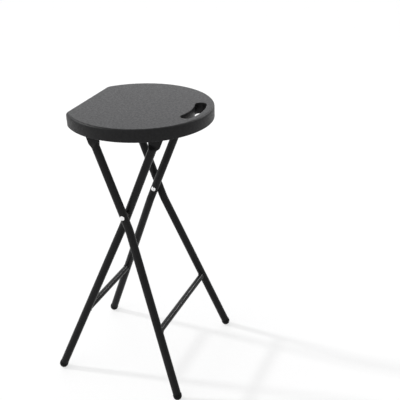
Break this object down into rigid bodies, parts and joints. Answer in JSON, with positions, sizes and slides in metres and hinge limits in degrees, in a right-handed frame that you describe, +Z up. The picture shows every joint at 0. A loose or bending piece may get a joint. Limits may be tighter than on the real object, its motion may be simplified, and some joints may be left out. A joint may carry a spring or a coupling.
{
  "type": "folding bar stool",
  "caption": "Folding bar stool with a round moulded seat that has a cut-off edge and a handle slot, on two crossing frames of bent tube.",
  "frame": {"origin": "on the floor, below the middle of the opened stool's length and width", "axes": "+Z up, +X towards the seat's handle slot, +Y to the left of someone who looks along +X"},
  "size_m": [0.3176, 0.3208, 0.589],
  "materials": {
    "seat_plastic": "fine moulded grain",
    "tube_paint": "satin powder coat",
    "bracket_steel": "satin powder coat",
    "zinc_steel": "bright zinc plate",
    "foot_plastic": "matte",
    "spacer_plastic": "matte"
  },
  "bodies": {
    "outer_frame": {"outer_crossbar": "tube_paint", "outer_leg_left": "tube_paint", "outer_leg_right": "tube_paint", "outer_foot_cap_left": "foot_plastic", "outer_foot_cap_right": "foot_plastic", "pivot_rivet_left": "zinc_steel", "pivot_rivet_right": "zinc_steel", "pivot_spacer_left": "spacer_plastic", "pivot_spacer_right": "spacer_plastic"},
    "inner_frame": {"inner_top_bar": "tube_paint", "inner_crossbar": "tube_paint", "inner_leg_left": "tube_paint", "inner_leg_right": "tube_paint", "inner_foot_cap_left": "foot_plastic", "inner_foot_cap_right": "foot_plastic"},
    "seat": {"seat_shell": "seat_plastic", "bracket_screws": "zinc_steel", "hinge_bracket_left": "bracket_steel", "hinge_bracket_right": "bracket_steel", "hinge_pin_left": "zinc_steel", "hinge_pin_right": "zinc_steel", "hinge_bushes_left": "spacer_plastic", "hinge_bushes_right": "spacer_plastic", "hook_bracket_left": "bracket_steel", "hook_bracket_right": "bracket_steel"}
  },
  "joints": [
    {"name": "seat_fold", "type": "hinge", "parent": "outer_frame", "child": "seat", "pos_m": [-0.06547, 0, 0.5633], "axis": [0, -1, 0], "range_deg": [0, 109.75]},
    {"name": "scissor", "type": "hinge", "parent": "outer_frame", "child": "inner_frame", "pos_m": [0.00178, 0, 0.376], "axis": [0, -1, 0], "range_deg": [0, 38.15]}
  ],
  "couplings": [
    {"joint": "scissor", "follows": "seat_fold", "ratio": 0.34763}
  ]
}
